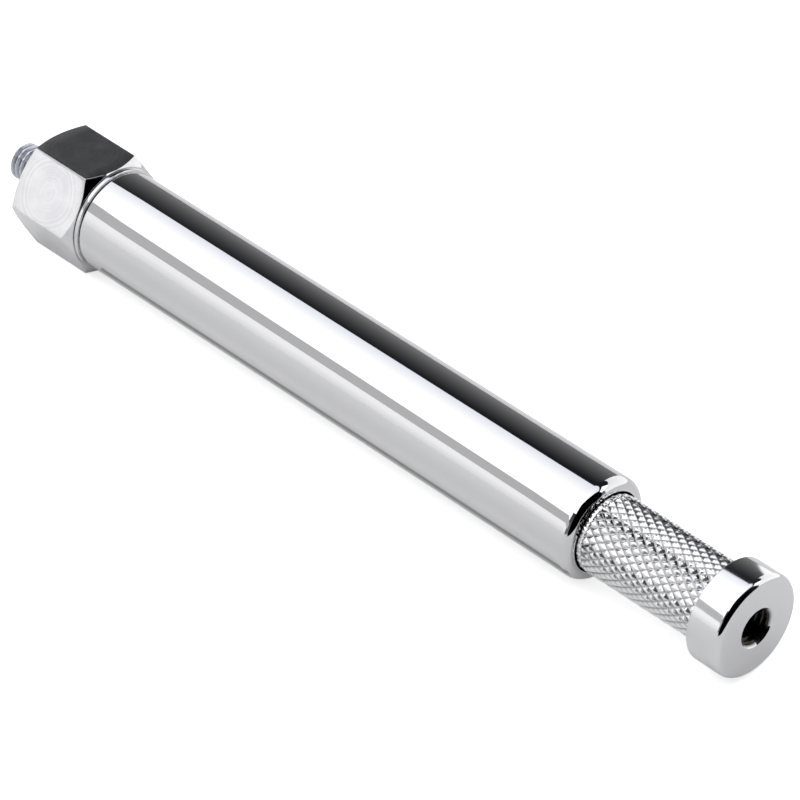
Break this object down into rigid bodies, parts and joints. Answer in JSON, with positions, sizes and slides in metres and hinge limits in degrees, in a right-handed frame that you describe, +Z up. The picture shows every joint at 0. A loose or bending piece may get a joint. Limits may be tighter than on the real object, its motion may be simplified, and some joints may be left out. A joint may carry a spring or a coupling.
{
  "type": "spring plunger tool",
  "caption": "Chromed tubular spring plunger with a hexagonal head and threaded stud at one end and a knurled push grip with a tapped button at the other.",
  "frame": {"origin": "on the tool's axis, at the face of the hexagonal head that the threaded stud stands out of", "axes": "+X along the axis from the stud's seat towards the button, +Z up with a flat of the hexagon facing down (-Z) and another facing up, +Y to the left seen from the stud"},
  "size_m": [0.2406, 0.0312, 0.027],
  "materials": {
    "tube_chrome": "bright chrome plate over polished steel tube",
    "head_chrome": "satin chrome plate over turned and milled steel",
    "button_chrome": "bright chrome plate over turned steel",
    "knurl_chrome": "chrome plate over a rolled diamond knurl",
    "zinc_steel": "bright zinc plate with a faint blue tint",
    "ground_steel": "ground and oiled",
    "spring_steel": "drawn wire, oiled",
    "bronze": "turned bearing bronze",
    "nylon": "natural nylon",
    "nitrile": "moulded black nitrile rubber"
  },
  "bodies": {
    "housing": {"threaded_stud": "zinc_steel", "hex_head": "head_chrome", "head_washer": "button_chrome", "barrel_tube": "tube_chrome", "spigot_seal": "nitrile", "fixed_spring_seat": "ground_steel", "return_spring": "spring_steel", "inner_retaining_ring": "spring_steel", "guide_bush": "bronze", "rod_wiper": "nitrile", "outer_retaining_ring": "spring_steel"},
    "follower": {"spring_follower": "ground_steel"},
    "plunger": {"rod_lock_nut": "zinc_steel", "piston": "ground_steel", "piston_guide_ring": "nylon", "stop_buffer": "nitrile", "plunger_rod": "ground_steel", "knurled_grip": "knurl_chrome", "end_button": "button_chrome"}
  },
  "joints": [
    {"name": "plunger_slide", "type": "slide", "parent": "housing", "child": "follower", "axis": [-1, 0, 0], "range_m": [0, 0.034], "stiffness_N_per_m": 600, "springref_m": -0.01, "deforming": ["return_spring"]},
    {"name": "grip_turn", "type": "hinge", "parent": "follower", "child": "plunger", "pos_m": [0.2, 0, 0], "axis": [1, 0, 0], "continuous": true}
  ]
}
